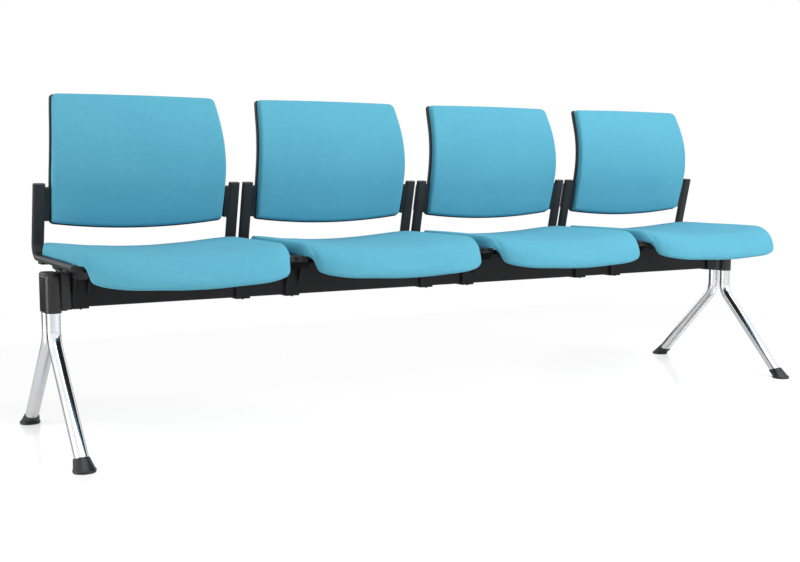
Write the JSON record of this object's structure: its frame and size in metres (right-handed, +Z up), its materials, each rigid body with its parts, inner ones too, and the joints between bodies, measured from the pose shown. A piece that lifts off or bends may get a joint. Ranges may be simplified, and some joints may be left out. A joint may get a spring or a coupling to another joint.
{
  "type": "beam seating",
  "caption": "Row of upholstered waiting-room chairs on one black steel beam with chromed inverted-V leg pairs at both ends.",
  "frame": {"origin": "on the floor, in the middle of the row and midway between front and rear", "axes": "+X runs along the row, -Y is the way the sitters face, +Z is up"},
  "size_m": [2.205, 0.5934, 0.832],
  "materials": {
    "upholstery": "matt woven cover, turquoise",
    "frame_black": "satin black powder coat",
    "beam_black": "satin black powder coat",
    "bracket_black": "satin black powder coat",
    "shell_black": "fine grained black",
    "pan_black": "fine grained black",
    "cap_black": "matt black",
    "hub_black": "satin black powder coat",
    "leg_chrome": "polished chrome plate",
    "foot_black": "matt black",
    "pad_rubber": "matt",
    "fastener_steel": "black oxide"
  },
  "bodies": {
    "root": {"back_cushion_1": "upholstery", "back_cushion_2": "upholstery", "back_cushion_3": "upholstery", "back_cushion_4": "upholstery", "back_screws": "fastener_steel", "back_shell_1": "shell_black", "back_shell_2": "shell_black", "back_shell_3": "shell_black", "back_shell_4": "shell_black", "beam": "beam_black", "beam_bracket_left_1": "bracket_black", "beam_bracket_left_2": "bracket_black", "beam_bracket_left_3": "bracket_black", "beam_bracket_left_4": "bracket_black", "beam_bracket_right_1": "bracket_black", "beam_bracket_right_2": "bracket_black", "beam_bracket_right_3": "bracket_black", "beam_bracket_right_4": "bracket_black", "beam_collar_left": "hub_black", "beam_collar_right": "hub_black", "bracket_straps": "bracket_black", "clamp_bolts": "fastener_steel", "cross_bars_1": "bracket_black", "cross_bars_2": "bracket_black", "cross_bars_3": "bracket_black", "cross_bars_4": "bracket_black", "foot_front_left": "foot_black", "foot_front_right": "foot_black", "foot_pads": "pad_rubber", "foot_rear_left": "foot_black", "foot_rear_right": "foot_black", "hub_cap_left": "cap_black", "hub_cap_right": "cap_black", "hub_sleeve_left": "hub_black", "hub_sleeve_right": "hub_black", "leg_front_left": "leg_chrome", "leg_front_right": "leg_chrome", "leg_rear_left": "leg_chrome", "leg_rear_right": "leg_chrome", "rail_caps": "cap_black", "seat_bolts": "fastener_steel", "seat_cushion_1": "upholstery", "seat_cushion_2": "upholstery", "seat_cushion_3": "upholstery", "seat_cushion_4": "upholstery", "seat_pan_1": "pan_black", "seat_pan_2": "pan_black", "seat_pan_3": "pan_black", "seat_pan_4": "pan_black", "side_frame_left_1": "frame_black", "side_frame_left_2": "frame_black", "side_frame_left_3": "frame_black", "side_frame_left_4": "frame_black", "side_frame_right_1": "frame_black", "side_frame_right_2": "frame_black", "side_frame_right_3": "frame_black", "side_frame_right_4": "frame_black", "spigot_screws": "fastener_steel", "upright_caps": "cap_black"}
  },
  "joints": []
}
